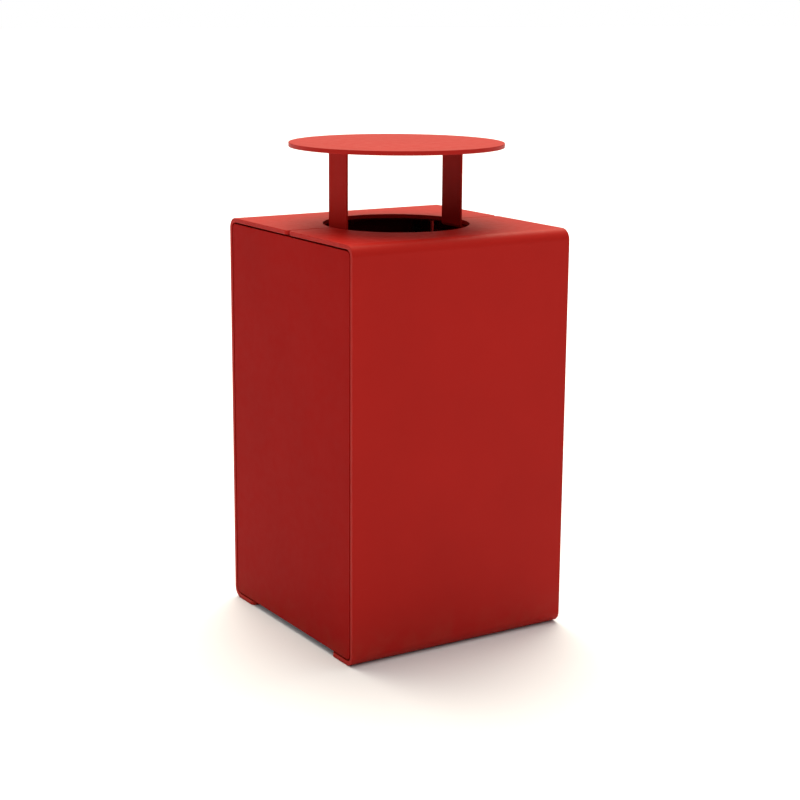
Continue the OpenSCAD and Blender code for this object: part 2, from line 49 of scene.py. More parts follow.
# ---- sizes that the boxes of the frame do not give ----
BEND_R = 21 * MM              # outer bend radius of the shells
FREE_CORNER_R = 10 * MM       # free corners of the shells
FLANGE_LENGTH = 75 * MM       # bottom flanges, from the outer face
HOLE_R = 135 * MM             # throw-in hole
PANEL_CORNER_R = 10 * MM
POST_T, POST_BEND_R = 4 * MM, 4 * MM  # flat bar of the posts, and its inner bend radius
POST_RIM_GAP = 10 * MM        # from a post to the rim of the hole
STILE_T, STILE_BEND_R = 2 * MM, 3.2 * MM
KEEPER_T, KEEPER_BEND_R, KEEPER_LIP = 3 * MM, 4 * MM, 20 * MM
ANGLE_T, ANGLE_ROOT_R, ANGLE_TOE_R = 3 * MM, 3 * MM, 1.2 * MM
LINER_HALF, LINER_T, LINER_R = 172.5 * MM, 1.5 * MM, 20 * MM
EYE_R = 7 * MM
ROD_R, ROD_BEND_R, ROD_HALF = 4 * MM, 6 * MM, 50 * MM
PIN_R, PIN_HEAD_H = 4 * MM, 3 * MM
BUSH_R, BUSH_BORE_R, BUSH_FLANGE_H = 5.5 * MM, 4.05 * MM, 2 * MM
LOCK_BODY_R, LOCK_BORE_R, LOCK_HEAD_H = 9 * MM, 6.05 * MM, 1.5 * MM
CAM_BOSS_R, CAM_HALF_WIDTH = 10 * MM, 8 * MM

M8 = {"r": 4 * MM, "pitch": 1.25 * MM, "across": 13 * MM, "flange": 8.6 * MM}
M6 = {"r": 3 * MM, "pitch": 1.0 * MM, "across": 10 * MM, "flange": 6.9 * MM}

PLATE_EDGE_R = 0.9 * MM       # rounded edges of the coated 8 mm plate
BAR_EDGE_R = 0.7 * MM         # of flat bar
SHEET_EDGE_R = 0.5 * MM       # of sheet
FINE_EDGE_R = 0.3 * MM        # of small turned and stamped pieces
MERGE, FINE_MERGE = 1e-6, 1e-7  # points nearer than this are one
ROUNDING = 1e-9               # slack where a place is compared with a sum of lengths

BODY_MIDDLE = Vector((0, 0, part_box("front_shell")[1].z / 2))


# ---- outlines: lists of (x, y), anticlockwise round material and clockwise round a hole ----

def arc(cx, cy, r, start, end, steps):
    """Points on an arc from start to end, in degrees, both ends included."""
    turn = [math.radians(start + (end - start) * i / steps) for i in range(steps + 1)]
    return [(cx + r * math.cos(t), cy + r * math.sin(t)) for t in turn]


def circle(cx, cy, r, steps=48):
    return arc(cx, cy, r, 0, 360, steps)[:-1]


def hole(cx, cy, r, steps=40):
    return circle(cx, cy, r, steps)[::-1]


def rounded_corners(points, radius, steps=6):
    """A polygon with each corner rounded; radius is one number or one for each corner."""
    radii = radius if isinstance(radius, (list, tuple)) else [radius] * len(points)
    out = []
    for i, (p, r) in enumerate(zip(points, radii)):
        here = Vector(p)
        before = (Vector(points[i - 1]) - here).normalized()
        after = (Vector(points[(i + 1) % len(points)]) - here).normalized()
        if r <= 0:
            out.append(tuple(here))
            continue
        half = before.angle(after) / 2
        reach = r / math.tan(half)
        centre = here + (before + after).normalized() * (r / math.sin(half))
        a, b = here + before * reach - centre, here + after * reach - centre
        swing = -a.angle_signed(b)
        for k in range(steps + 1):
            c, s = math.cos(swing * k / steps), math.sin(swing * k / steps)
            out.append((centre.x + a.x * c - a.y * s, centre.y + a.x * s + a.y * c))
    return out


def rectangle(x0, y0, x1, y1, radius=0.0, steps=6):
    corners = [(x0, y0), (x1, y0), (x1, y1), (x0, y1)]
    return rounded_corners(corners, radius, steps)


def channel_outline(width, leg_low, leg_high, t, r):
    """A U with its web at x = 0, centred on y = 0, and its legs towards +X."""
    half = width / 2
    points = [(0, -half), (leg_low, -half), (leg_low, t - half), (t, t - half),
              (t, half - t), (leg_high, half - t), (leg_high, half), (0, half)]
    return rounded_corners(points, [r, 0, 0, r - t, r - t, 0, 0, r])


def angle_outline(leg, t):
    """A rolled angle with its heel at the origin and its legs towards +X and +Y."""
    points = [(0, 0), (leg, 0), (leg, t), (t, t), (t, leg), (0, leg)]
    return rounded_corners(points, [ANGLE_ROOT_R, 0, ANGLE_TOE_R, ANGLE_ROOT_R, ANGLE_TOE_R, 0])


def inset(points, distance):
    """Moves an outline into its material by distance, with mitred corners."""
    out = []
    for i, p in enumerate(points):
        here = Vector(p)
        a = (here - Vector(points[i - 1])).normalized()
        b = (Vector(points[(i + 1) % len(points)]) - here).normalized()
        na, nb = Vector((-a.y, a.x)), Vector((-b.y, b.x))
        m = (na + nb) / max(1 + na.dot(nb), 0.3)
        out.append((here.x + m.x * distance, here.y + m.y * distance))
    return out


def edge_rings(points, half, r, steps=3):
    """Rings (outline, height) that wrap the rounded edge of a plate, from its top to its bottom."""
    rings = []
    for i in range(steps + 1):
        t = math.pi / 2 * i / steps
        rings.append((inset(points, r - r * math.sin(t)), half - r + r * math.cos(t)))
    return rings + [(p, -z) for p, z in reversed(rings)]


def hex_radius(across, angle):
    """Distance from the middle of a hexagon to its side, in the direction of the angle."""
    sixth = math.pi / 3
    return across / 2 / math.cos((angle + sixth / 2) % sixth - sixth / 2)


# ---- meshes ----

def new_object(name, bm):
    """Turns a bmesh into a smooth-shaded object with its faces looking outwards."""
    bmesh.ops.recalc_face_normals(bm, faces=bm.faces)
    mesh = bpy.data.meshes.new(name)
    bm.to_mesh(mesh)
    bm.free()
    stale = mesh.attributes.get("custom_normal")
    if stale:
        mesh.attributes.remove(stale)
    mesh.shade_smooth()
    obj = bpy.data.objects.new(name, mesh)
    SCENE.collection.objects.link(obj)
    return obj


def join_rings(bm, rings):
    """Quads between closed rings of vertices that hold the same number of points."""
    for low, high in zip(rings, rings[1:]):
        n = len(low)
        for i in range(n):
            j = (i + 1) % n
            bm.faces.new((low[i], low[j], high[j], high[i]))


def plate(name, outlines, thickness, r, steps, cuts, place):
    """A plate with rounded edges, drawn flat in the XY plane and moved by place(). outlines are its
    outside and its holes; cuts are (point, normal) planes that add edge loops where it bends."""
    bm = bmesh.new()
    top, bottom = [], []
    for outline in outlines:
        rings = edge_rings(outline, thickness / 2, r, steps)
        made = [[bm.verts.new((x, y, z)) for x, y in pts] for pts, z in rings]
        join_rings(bm, made)
        for ring, loop in ((made[0], top), (made[-1], bottom)):
            loop += [bm.edges.get((ring[i], ring[i - 1])) for i in range(len(ring))]
    for loop in (top, bottom):
        bmesh.ops.triangle_fill(bm, edges=loop, use_beauty=True, use_dissolve=False)
    for point, normal in cuts:
        everything = bm.verts[:] + bm.edges[:] + bm.faces[:]
        bmesh.ops.bisect_plane(bm, geom=everything, dist=FINE_MERGE, plane_co=point,
                               plane_no=normal)
    for v in bm.verts:
        v.co = place(v.co)
    return harden(new_object(name, bm))


def turned(name, rows, sides, place):
    """Turns a closed list of (radius, height) rows round Z; either may be a function of the angle."""
    bm = bmesh.new()
    turn = [2 * math.pi * i / sides for i in range(sides)]
    rings = []
    for r, z in rows:
        radius = [r(t) if callable(r) else r for t in turn]
        height = [z(t) if callable(z) else z for t in turn]
        ring = zip(turn, radius, height)
        rings.append([bm.verts.new((d * math.cos(t), d * math.sin(t), h)) for t, d, h in ring])
    join_rings(bm, rings + [rings[0]])
    bmesh.ops.remove_doubles(bm, verts=bm.verts, dist=FINE_MERGE)
    bm.transform(place)
    return sharpen(new_object(name, bm))


def loft(name, rings):
    """A closed skin over rings of points in space, capped at both ends."""
    bm = bmesh.new()
    made = [[bm.verts.new(p) for p in ring] for ring in rings]
    join_rings(bm, made)
    bm.faces.new(made[0][::-1])
    bm.faces.new(made[-1])
    return new_object(name, bm)


def tube_rings(path, radius, sides):
    """Rings round a path; radius is a function of the distance along it."""
    rings, along, side = [], 0.0, None
    for i, p in enumerate(path):
        tangent = (path[min(i + 1, len(path) - 1)] - path[max(i - 1, 0)]).normalized()
        side = side or tangent.orthogonal()
        side = (side - tangent * side.dot(tangent)).normalized()
        up = tangent.cross(side)
        along += (p - path[i - 1]).length if i else 0
        r = radius(along)
        turn = [2 * math.pi * k / sides for k in range(sides)]
        rings.append([p + (side * math.cos(t) + up * math.sin(t)) * r for t in turn])
    return rings


def rounded_path(points, radius, steps=8):
    """A polyline in space with its inner corners turned into arcs."""
    out = [points[0]]
    for before, here, after in zip(points, points[1:], points[2:]):
        a, b = (before - here).normalized(), (after - here).normalized()
        half = a.angle(b) / 2
        reach = radius / math.tan(half)
        centre = here + (a + b).normalized() * radius / math.sin(half)
        start = (here + a * reach - centre).normalized()
        end = (here + b * reach - centre).normalized()
        out += [centre + start.slerp(end, k / steps) * radius for k in range(steps + 1)]
    return out + [points[-1]]


def path_length(path):
    return sum((b - a).length for a, b in zip(path, path[1:]))


def joined(name, objects):
    """One mesh object made of several."""
    bm = bmesh.new()
    for o in objects:
        bm.from_mesh(o.data)
        bpy.data.objects.remove(o)
    return sharpen(new_object(name, bm))


def sharpen(obj, degrees=38):
    """Marks the edges that are bent by more than this angle, so that they shade crisply."""
    bm = bmesh.new()
    bm.from_mesh(obj.data)
    for e in bm.edges:
        e.smooth = len(e.link_faces) == 2 and e.calc_face_angle(0) < math.radians(degrees)
    bm.to_mesh(obj.data)
    bm.free()
    return obj


def harden(obj):
    """Normals weighted by face area, so that flats stay flat between their rounded edges."""
    modifier = obj.modifiers.new("normals", "WEIGHTED_NORMAL")
    modifier.weight = 100
    modifier.keep_sharp = True
    made = obj.evaluated_get(bpy.context.evaluated_depsgraph_get())
    mesh = bpy.data.meshes.new_from_object(made)
    obj.modifiers.clear()
    obj.data = mesh
    return obj


def cad_mesh(node):
    """The mesh of a CAD node, with its triangles joined up."""
    bm = bmesh.new()
    bm.from_mesh(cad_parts[node].data)
    bmesh.ops.remove_doubles(bm, verts=bm.verts, dist=MERGE)
    return bm


def refined(node, width):
    """A copy of a CAD node's mesh with its sharp edges rounded."""
    flat, sharp_from = math.radians(1), math.radians(35)
    bm = cad_mesh(node)
    bmesh.ops.dissolve_limit(bm, angle_limit=flat, verts=bm.verts, edges=bm.edges)
    sharp = [e for e in bm.edges if e.calc_face_angle(0) > sharp_from]
    bmesh.ops.bevel(bm, geom=sharp, offset=width, offset_type="OFFSET", segments=2,
                    profile=0.5, affect="EDGES", clamp_overlap=True)
    return harden(new_object(detail_name(node), bm))


def detail_name(node):
    return node + "_detail"


def finish_piece(obj, material, body, slot, *nodes):
    """Gives a piece its material, its CAD body and the nodes it stands for; slot, its material slot,
    is not used.
    """
    obj.data.materials.clear()
    obj.data.materials.append(material)
    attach(obj, body)
    if nodes:
        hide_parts(*nodes)
    return obj


# ---- places read from the frame ----

def centre_of(node):
    low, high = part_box(node)
    return (low + high) / 2


def size_of(node):
    low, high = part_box(node)
    return high - low


def solids(node):
    """Boxes (low, high) of the separate solids in a CAD node."""
    bm = cad_mesh(node)
    seen, boxes = set(), []
    for start in bm.verts:
        if start in seen:
            continue
        seen.add(start)
        waiting, points = [start], []
        while waiting:
            v = waiting.pop()
            points.append(v.co.copy())
            near = [e.other_vert(v) for e in v.link_edges]
            fresh = [w for w in near if w not in seen]
            seen.update(fresh)
            waiting += fresh
        boxes.append((Vector(map(min, zip(*points))), Vector(map(max, zip(*points)))))
    bm.free()
    return boxes


def standing(box, longest):
    """Where a Z-up piece goes to fill a box: its matrix, and its height. The axis is the box's
    longest or shortest side, and the piece stands on the end away from the middle of the body."""
    low, high = box
    size = high - low
    axis = max(range(3), key=lambda i: size[i] if longest else -size[i])
    centre = (low + high) / 2
    up, across = Vector((0, 0, 0)), Vector((0, 0, 0))
    up[axis] = 1 if centre[axis] < BODY_MIDDLE[axis] else -1
    across[(axis + 1) % 3] = 1
    turn = Matrix((across, up.cross(across), up)).transposed().to_4x4()
    return Matrix.Translation(centre - up * size[axis] / 2) @ turn, size[axis]


def in_each_solid(node, longest, make):
    """One object with make(name, height, place) done in each solid of a node."""
    made = []
    for box in solids(node):
        place, height = standing(box, longest)
        made.append(make(node, height, place))
    return joined(detail_name(node), made)


# ---- materials ----

class Nodes:
    """Builds one material's node tree."""

    def __init__(self, name):
        self.material = bpy.data.materials.new(name)
        self.material.use_nodes = True
        self.tree = self.material.node_tree
        self.shader = self.tree.nodes["Principled BSDF"]

    def fill(self, socket, value):
        if isinstance(value, bpy.types.NodeSocket):
            self.tree.links.new(value, socket)
        else:
            socket.default_value = value

    def add(self, kind, inputs=None, **settings):
        node = self.tree.nodes.new(kind)
        for key, value in settings.items():
            setattr(node, key, value)
        for key, value in (inputs or {}).items():
            self.fill(node.inputs[key], value)
        return node

    def point(self, scale=(1, 1, 1)):
        spot = self.add("ShaderNodeTexCoord").outputs["Object"]
        if scale == (1, 1, 1):
            return spot
        return self.add("ShaderNodeMapping", {"Vector": spot, "Scale": scale}).outputs[0]

    def noise(self, scale, detail=3.0, stretch=(1, 1, 1)):
        inputs = {"Scale": scale, "Detail": detail, "Vector": self.point(stretch)}
        return self.add("ShaderNodeTexNoise", inputs).outputs["Fac"]

    def remap(self, value, low, high, to_low=0.0, to_high=1.0):
        inputs = {"Value": value, "From Min": low, "From Max": high,
                  "To Min": to_low, "To Max": to_high}
        return self.add("ShaderNodeMapRange", inputs).outputs["Result"]

    def math(self, operation, a, b):
        return self.add("ShaderNodeMath", {0: a, 1: b}, operation=operation).outputs[0]

    def mix(self, factor, a, b):
        node = self.add("ShaderNodeMix", data_type="RGBA")
        for index, value in ((0, factor), (6, a), (7, b)):
            self.fill(node.inputs[index], value)
        return node.outputs[2]

    def edges(self, radius):
        """1 on the corners and rounded edges of the piece, 0 on its flats."""
        soft = self.add("ShaderNodeBevel", {"Radius": radius}, samples=4).outputs[0]
        true = self.add("ShaderNodeNewGeometry").outputs["True Normal"]
        dot = self.add("ShaderNodeVectorMath", {0: soft, 1: true}, operation="DOT_PRODUCT")
        return self.remap(self.math("SUBTRACT", 1.0, dot.outputs["Value"]), 0.02, 0.25)

    def bump(self, height, distance, strength):
        inputs = {"Height": height, "Distance": distance, "Strength": strength}
        return self.add("ShaderNodeBump", inputs).outputs["Normal"]

    def set(self, **inputs):
        for key, value in inputs.items():
            self.fill(self.shader.inputs[key.replace("_", " ")], value)
        return self.material


def shade(colour, factor):
    return tuple(min(c * factor, 1.0) for c in colour[:3]) + (1.0,)


PRIMER = (0.21, 0.13, 0.11, 1.0)  # what a chip in the coat shows
DUST = (0.20, 0.13, 0.09, 1.0)


def powder_coat(name, colour, roughness, gloss, grime_top):
    """Satin powder coat: cloudy tone, orange peel, edges paler partly from a thin and chalky coat
    and partly as a painted highlight, rare chips, fine scuffs, and a little dust below grime_top."""
    n = Nodes(name)
    cloud = n.remap(n.noise(6.0, 4.0), 0.3, 0.7)
    tone = n.mix(cloud, shade(colour, 0.965), shade(colour, 1.035))
    speck = n.remap(n.noise(1100.0, 2.0), 0.56, 0.70)
    tone = n.mix(n.math("MULTIPLY", speck, 0.16), tone, shade(colour, 0.72))
    scuff = n.remap(n.noise(26.0, 6.0, (1, 1, 9)), 0.66, 0.74)
    fine = n.remap(n.noise(340.0, 3.0, (1, 1, 0.12)), 0.5, 0.72)
    scuff = n.math("MULTIPLY", scuff, fine)
    pale = (colour[0] * 1.15, colour[1] * 2.6 + 0.012, colour[2] * 2.6 + 0.012, 1.0)
    tone = n.mix(n.math("MULTIPLY", scuff, 0.35), tone, pale)
    edge = n.edges(1.6 * MM)
    # Paler rounded edges: partly a worn, thin coat and partly a painted highlight along the edges.
    worn_and_highlight = n.math("MULTIPLY", edge, n.remap(n.noise(55.0, 5.0), 0.38, 0.66, 0.25, 1.0))
    tone = n.mix(n.math("MULTIPLY", worn_and_highlight, 0.1), tone, pale)
    chip = n.math("MULTIPLY", edge, n.remap(n.noise(95.0, 4.0), 0.705, 0.72))
    tone = n.mix(chip, tone, PRIMER)
    height = n.add("ShaderNodeSeparateXYZ", {0: n.point()}).outputs["Z"]
    low = n.remap(height, 0.0, grime_top, 1.0, 0.0)
    dust = n.math("MULTIPLY", n.math("POWER", low, 2.0), n.remap(n.noise(38.0, 6.0), 0.35, 0.7))
    tone = n.mix(n.math("MULTIPLY", dust, 0.12), tone, DUST)
    peel = n.math("MULTIPLY", n.noise(380.0, 2.0), 0.75)
    grain = n.math("MULTIPLY", n.noise(1500.0, 2.0), 0.25)
    surface = n.math("SUBTRACT", n.math("ADD", peel, grain), n.math("MULTIPLY", chip, 0.8))
    rough = n.remap(n.noise(60.0, 5.0), 0.3, 0.7, roughness - 0.04, roughness + 0.05)
    rough = n.math("ADD", rough, n.math("MULTIPLY", n.math("MAXIMUM", worn_and_highlight, dust), 0.14))
    return n.set(Base_Color=tone, Roughness=rough, Specular_IOR_Level=gloss,
                 Normal=n.bump(surface, 0.00012, 0.45))


def galvanised(name, low, high, scale, roughness):
    """Hot-dip zinc: a patchwork of crystals that differ in tone and gloss, with dull stains and
    brighter, rubbed edges."""
    n = Nodes(name)
    warp = n.add("ShaderNodeTexNoise", {"Scale": scale * 0.5, "Detail": 2.0,
                                        "Vector": n.point()}).outputs["Color"]
    push = n.add("ShaderNodeVectorMath", {0: warp, 1: (0.9 / scale,) * 3}, operation="MULTIPLY")
    where = n.add("ShaderNodeVectorMath", {0: n.point(), 1: push.outputs[0]}, operation="ADD")
    cells = n.add("ShaderNodeTexVoronoi", {"Scale": scale, "Vector": where.outputs[0]})
    crystal = n.add("ShaderNodeSeparateColor", {"Color": cells.outputs["Color"]}).outputs[0]
    feather = n.noise(scale * 5, 3.0, (1, 1, 0.35))
    crystal = n.math("ADD", n.math("MULTIPLY", crystal, 0.75), n.math("MULTIPLY", feather, 0.25))
    tone = n.mix(crystal, low, high)
    stain = n.remap(n.noise(9.0, 5.0), 0.42, 0.72)
    tone = n.mix(n.math("MULTIPLY", stain, 0.4), tone, shade(low, 0.75))
    edge = n.edges(1.2 * MM)
    tone = n.mix(n.math("MULTIPLY", edge, 0.35), tone, shade(high, 1.15))
    rough = n.remap(crystal, 0.0, 1.0, roughness - 0.08, roughness + 0.12)
    rough = n.math("ADD", rough, n.math("MULTIPLY", stain, 0.1))
    return n.set(Base_Color=tone, Metallic=0.9, Roughness=rough,
                 Normal=n.bump(n.noise(240.0, 4.0), 0.0001, 0.3))


def worked_metal(name, colour, roughness, marks_stretch):
    """Drawn, turned or plated metal: fine marks, a few darker stains and rubbed edges."""
    n = Nodes(name)
    marks = n.noise(900.0, 3.0, marks_stretch)
    stain = n.remap(n.noise(70.0, 4.0), 0.45, 0.75)
    tone = n.mix(n.math("MULTIPLY", stain, 0.5), shade(colour, 1.0), shade(colour, 0.66))
    tone = n.mix(n.math("MULTIPLY", n.edges(0.6 * MM), 0.4), tone, shade(colour, 1.35))
    rough = n.remap(marks, 0.3, 0.7, roughness - 0.07, roughness + 0.1)
    rough = n.math("ADD", rough, n.math("MULTIPLY", stain, 0.15))
    return n.set(Base_Color=tone, Metallic=1.0, Roughness=rough,
                 Normal=n.bump(marks, 0.00004, 0.4))


def moulded(name, colour, roughness, grain):
    """Moulded nylon or rubber with a fine grain and a dusty bloom, paler on rubbed edges."""
    n = Nodes(name)
    dust = n.remap(n.noise(60.0, 5.0), 0.42, 0.75)
    tone = n.mix(n.math("MULTIPLY", dust, 0.5), shade(colour, 1.0), shade(colour, 2.4))
    tone = n.mix(n.math("MULTIPLY", n.edges(0.8 * MM), 0.3), tone, shade(colour, 4.0))
    rough = n.remap(n.noise(200.0, 3.0), 0.3, 0.7, roughness - 0.06, roughness + 0.06)
    return n.set(Base_Color=tone, Roughness=rough, Normal=n.bump(n.noise(grain, 2.0), 0.00006, 0.5))


RED = (0.352, 0.0105, 0.0080)
# The panels' red is a darker copy of RED: painted shade, so the left side panel reads darker than the
# front shell; the door, stiles, lugs and their welds share it.
SHADED_PANEL_RED = (0.272, 0.0030, 0.0022)
SHELL_GLOSS, ROOF_GLOSS, PANEL_GLOSS = 0.062, 0.075, 0.022  # specular levels of the coat
GRIME_TOP = 0.11              # height that rain splashes reach

coat_shell = powder_coat("red_coat_shell", RED, 0.46, SHELL_GLOSS, GRIME_TOP)
coat_panel = powder_coat("red_coat_panel_shaded", SHADED_PANEL_RED, 0.50, PANEL_GLOSS, GRIME_TOP)
coat_roof = powder_coat("red_coat_roof", RED, 0.46, ROOF_GLOSS, GRIME_TOP)
coat_post = powder_coat("red_coat_post", RED, 0.50, PANEL_GLOSS, GRIME_TOP)
# The inner frame's coat is RED at half brightness: painted shade, so the uprights and top panel seen
# through the hole read dark.
coat_frame = powder_coat("red_coat_frame_shaded", shade(RED, 0.5)[:3], 0.58, PANEL_GLOSS, GRIME_TOP)
zinc_sheet = galvanised("zinc_sheet", (0.36, 0.38, 0.41, 1), (0.58, 0.60, 0.63, 1), 60.0, 0.46)
zinc_liner = galvanised("zinc_liner", (0.42, 0.44, 0.47, 1), (0.66, 0.68, 0.71, 1), 42.0, 0.38)
# The fasteners' zinc is a near-black grey: painted shade, so the nuts and studs seen inside the hole
# read dark.
zinc_fastener = worked_metal("zinc_fastener", (0.10, 0.10, 0.105), 0.38, (1, 1, 1))
steel_bar = worked_metal("steel_bar", (0.46, 0.46, 0.47), 0.34, (1, 0.12, 1))
brass_core = worked_metal("brass_core", (0.64, 0.45, 0.17), 0.32, (1, 1, 1))
nylon_black = moulded("nylon_black", (0.018, 0.018, 0.019), 0.5, 700.0)
rubber_black = moulded("rubber_black", (0.013, 0.013, 0.013), 0.75, 1000.0)


# ---- bent plate ----

class Bends:
    """Bends a flat pattern: its y runs along a path of straights and turns in a plane, and its z is
    the distance to the right of the middle of the sheet."""

    def __init__(self, start, heading, steps, inner_r, thickness):
        self.rows = []
        self.mid = inner_r + thickness / 2
        place, angle, at = Vector(start), math.radians(heading), 0.0
        for kind, value in steps:
            turn = math.radians(value) if kind == "turn" else 0
            length = abs(turn) * self.mid if turn else value
            self.rows.append((at, at + length, place, angle, turn and math.copysign(1, turn)))
            at += length
            place = self.at(at, 0)
            angle += turn
        self.length = at

    def at(self, s, t):
        """Where the point at distance s, and t to the right of the middle of the sheet, goes."""
        rows_to_come = (row for row in self.rows if s <= row[1] + ROUNDING)
        low, _, place, angle, turn = next(rows_to_come, self.rows[-1])
        ahead = Vector((math.cos(angle), math.sin(angle)))
        left = Vector((-ahead.y, ahead.x))
        if not turn:
            return place + ahead * (s - low) - left * t
        swing = turn * (s - low) / self.mid
        arm = Matrix.Rotation(swing, 2) @ (left * -turn)
        return place + left * turn * self.mid + arm * (self.mid + turn * t)

    def cuts(self, count=14):
        """Planes across the pattern at the bends."""
        out = []
        for low, high, _, _, turn in self.rows:
            steps = count if turn else 1
            out += [low + (high - low) * i / steps for i in range(steps + 1)]
        return [((0, s, 0), (0, 1, 0)) for s in sorted(set(out))[1:-1]]


# ---- the coated plate that shows: shells, side panels, roof and posts ----

HOLE_STEPS, CORNER_STEPS = 72, 8  # of the half hole and of a free corner of a shell
ROOF_SIDES = 192
POST_END_R = 2 * MM           # corners at both ends of a post's flat bar


def shell_outline(half, length, seam):
    """Flat pattern of a shell: x across, y along the plate from the seam to the bottom edge."""
    reach = math.degrees(math.acos(seam / HOLE_R))
    notch = arc(0, -seam, HOLE_R, 90 + reach, 90 - reach, HOLE_STEPS)
    r, x, y = FREE_CORNER_R, half - FREE_CORNER_R, length - FREE_CORNER_R
    outline = notch
    for cx, cy, start in ((x, r, -90), (x, y, 0), (-x, y, 90), (-x, r, 180)):
        outline += arc(cx, cy, r, start, start + 90, CORNER_STEPS)
    return outline


def make_shell(node, side, pivots):
    """One shell, bent from a plate; side is -1 at the front and 1 at the back, and pivots are the
    (x, y) places of holes through its bottom flange."""
    low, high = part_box(node)
    t = high.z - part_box("top_panel")[1].z
    depth = max(-low.y, high.y)
    seam = min(abs(low.y), abs(high.y))
    steps = [("straight", depth - BEND_R - seam), ("turn", 90),
             ("straight", high.z - 2 * BEND_R), ("turn", 90),
             ("straight", FLANGE_LENGTH - BEND_R)]
    bends = Bends((-seam, high.z - t / 2), 180, steps, BEND_R - t, t)
    free_edge = depth - FLANGE_LENGTH
    outlines = [shell_outline(high.x, bends.length, seam)]
    for x, y in pivots:
        outlines.append(hole(x, bends.length - (y - free_edge), BUSH_R))

    def place(p):
        at = bends.at(p.y, p.z)
        return Vector((p.x, -side * at.x, at.y))

    obj = plate(detail_name(node), outlines, t, PLATE_EDGE_R, 4, bends.cuts(), place)
    finish_piece(obj, coat_shell, "root", "red_shell", node)


def make_side_panel(node, body, holes):
    """A flat panel that stands in the YZ plane; holes are (y, z, radius)."""
    centre, size = centre_of(node), size_of(node)
    outlines = [rectangle(-size.y / 2, -size.z / 2, size.y / 2, size.z / 2, PANEL_CORNER_R, 10)]
    outlines += [hole(y - centre.y, z - centre.z, r) for y, z, r in holes]
    obj = plate(detail_name(node), outlines, size.x, SHEET_EDGE_R, 3, (),
                lambda p: centre + Vector((p.z, p.x, p.y)))
    finish_piece(obj, coat_panel, body, "red_panel", node)


def make_roof():
    centre, size = centre_of("roof_disc"), size_of("roof_disc")
    outline = circle(0, 0, size.x / 2, ROOF_SIDES)
    obj = plate(detail_name("roof_disc"), [outline], size.z, PLATE_EDGE_R, 4, (),
                lambda p: centre + p)
    finish_piece(obj, coat_roof, "root", "red_roof", "roof_disc")


def make_post(node):
    """Flat bar: a foot outwards under the top panel, up through the hole, a tab under the roof."""
    low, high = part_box(node)
    side = 1 if low.x > 0 else -1
    inner, outer = sorted((abs(low.x), abs(high.x)))
    t, face = POST_T, HOLE_R - POST_RIM_GAP
    straight_foot = outer - face - POST_BEND_R
    straight_bar = high.z - low.z - 2 * (t + POST_BEND_R)
    straight_tab = face - t - POST_BEND_R - inner
    steps = [("straight", straight_foot), ("turn", -90), ("straight", straight_bar),
             ("turn", 90), ("straight", straight_tab)]
    bends = Bends((outer, low.z + t / 2), 180, steps, POST_BEND_R, t)
    half = (high.y - low.y) / 2
    outline = rectangle(-half, 0, half, bends.length, POST_END_R, 4)

    def place(p):
        at = bends.at(p.y, p.z)
        return Vector((side * at.x, p.x, at.y))

    obj = plate(detail_name(node), [outline], t, BAR_EDGE_R, 3, bends.cuts(8), place)
    finish_piece(obj, coat_post, "root", "red_roof", node)


# ---- fasteners ----

THREAD_DEPTH = 0.45           # of the pitch
COLLAR_H, COLLAR_OUT = 0.8 * MM, 1.1 * MM
STUD_TIP = 0.8                # of the radius of the thread's root
NUT_FACE_R = 0.97             # of half the width across flats
NUT_SLOPE = math.tan(math.radians(30))
NUT_BORE_CHAMFER = 0.6 * MM
WASHER_H, WASHER_SLOPE = 1 * MM, 0.4
SCREW_TIP = 0.4 * MM          # chamfer at the tip of a shank
LEAST_NECK = 0.5 * MM         # a screw's head starts at least this far from its tip
SOCKET_ACROSS = 0.75          # width of a screw's socket, of the head's radius
SOCKET_DEPTH = 0.6            # of the head's height


def stud(name, height, place, screw):
    """A weld stud: a collar of weld at its base, a helical thread and a chamfered tip."""
    r, pitch, sides = screw["r"], screw["pitch"], 20
    root = r - THREAD_DEPTH * pitch
    low, high = COLLAR_H, height - (r - root)
    bm = bmesh.new()
    rows = []
    for k in range(-2, 2 * math.ceil((high - low) / pitch) + 3):
        row = []
        for i in range(sides):
            z = low + pitch * (k / 2 + i / sides)
            inside = low < z < high
            d = r if inside and k % 2 else root
            t = 2 * math.pi * i / sides
            row.append(bm.verts.new((d * math.cos(t), d * math.sin(t), min(max(z, low), high))))
        rows.append(row)
    for k in range(len(rows) - 3):
        here, above = rows[k] + [rows[k + 2][0]], rows[k + 1] + [rows[k + 3][0]]
        for i in range(sides):
            bm.faces.new((here[i], here[i + 1], above[i + 1], above[i]))
    ends = []
    for d, z in ((r + COLLAR_OUT, 0), (r + COLLAR_OUT, COLLAR_H / 2), (root, low),
                 (root, high), (root * STUD_TIP, height)):
        ends.append([bm.verts.new((d * math.cos(t), d * math.sin(t), z))
                     for t in [2 * math.pi * i / sides for i in range(sides)]])
    join_rings(bm, ends[:3])
    join_rings(bm, ends[3:])
    bm.faces.new(ends[0][::-1])
    bm.faces.new(ends[-1])
    bmesh.ops.remove_doubles(bm, verts=bm.verts, dist=MERGE)
    bm.transform(place)
    return sharpen(new_object(name, bm))


def hex_nut(name, height, place, across, bore, flange):
    """A chamfered hexagon nut; flange is the radius of its washer face, or 0."""
    face_r = across / 2 * NUT_FACE_R
    bore_face = bore + NUT_BORE_CHAMFER

    def side(t):
        return hex_radius(across, t)

    def drop(t):
        return (side(t) - face_r) * NUT_SLOPE

    if flange:
        rows = [(flange, 0), (flange, WASHER_H),
                (side, lambda t: WASHER_H + (flange - side(t)) * WASHER_SLOPE)]
    else:
        rows = [(face_r, 0), (side, drop)]
    rows += [(side, lambda t: height - drop(t)), (face_r, height), (bore_face, height),
             (bore, height - NUT_BORE_CHAMFER), (bore, NUT_BORE_CHAMFER), (bore_face, 0)]
    return turned(name, rows, 48, place)


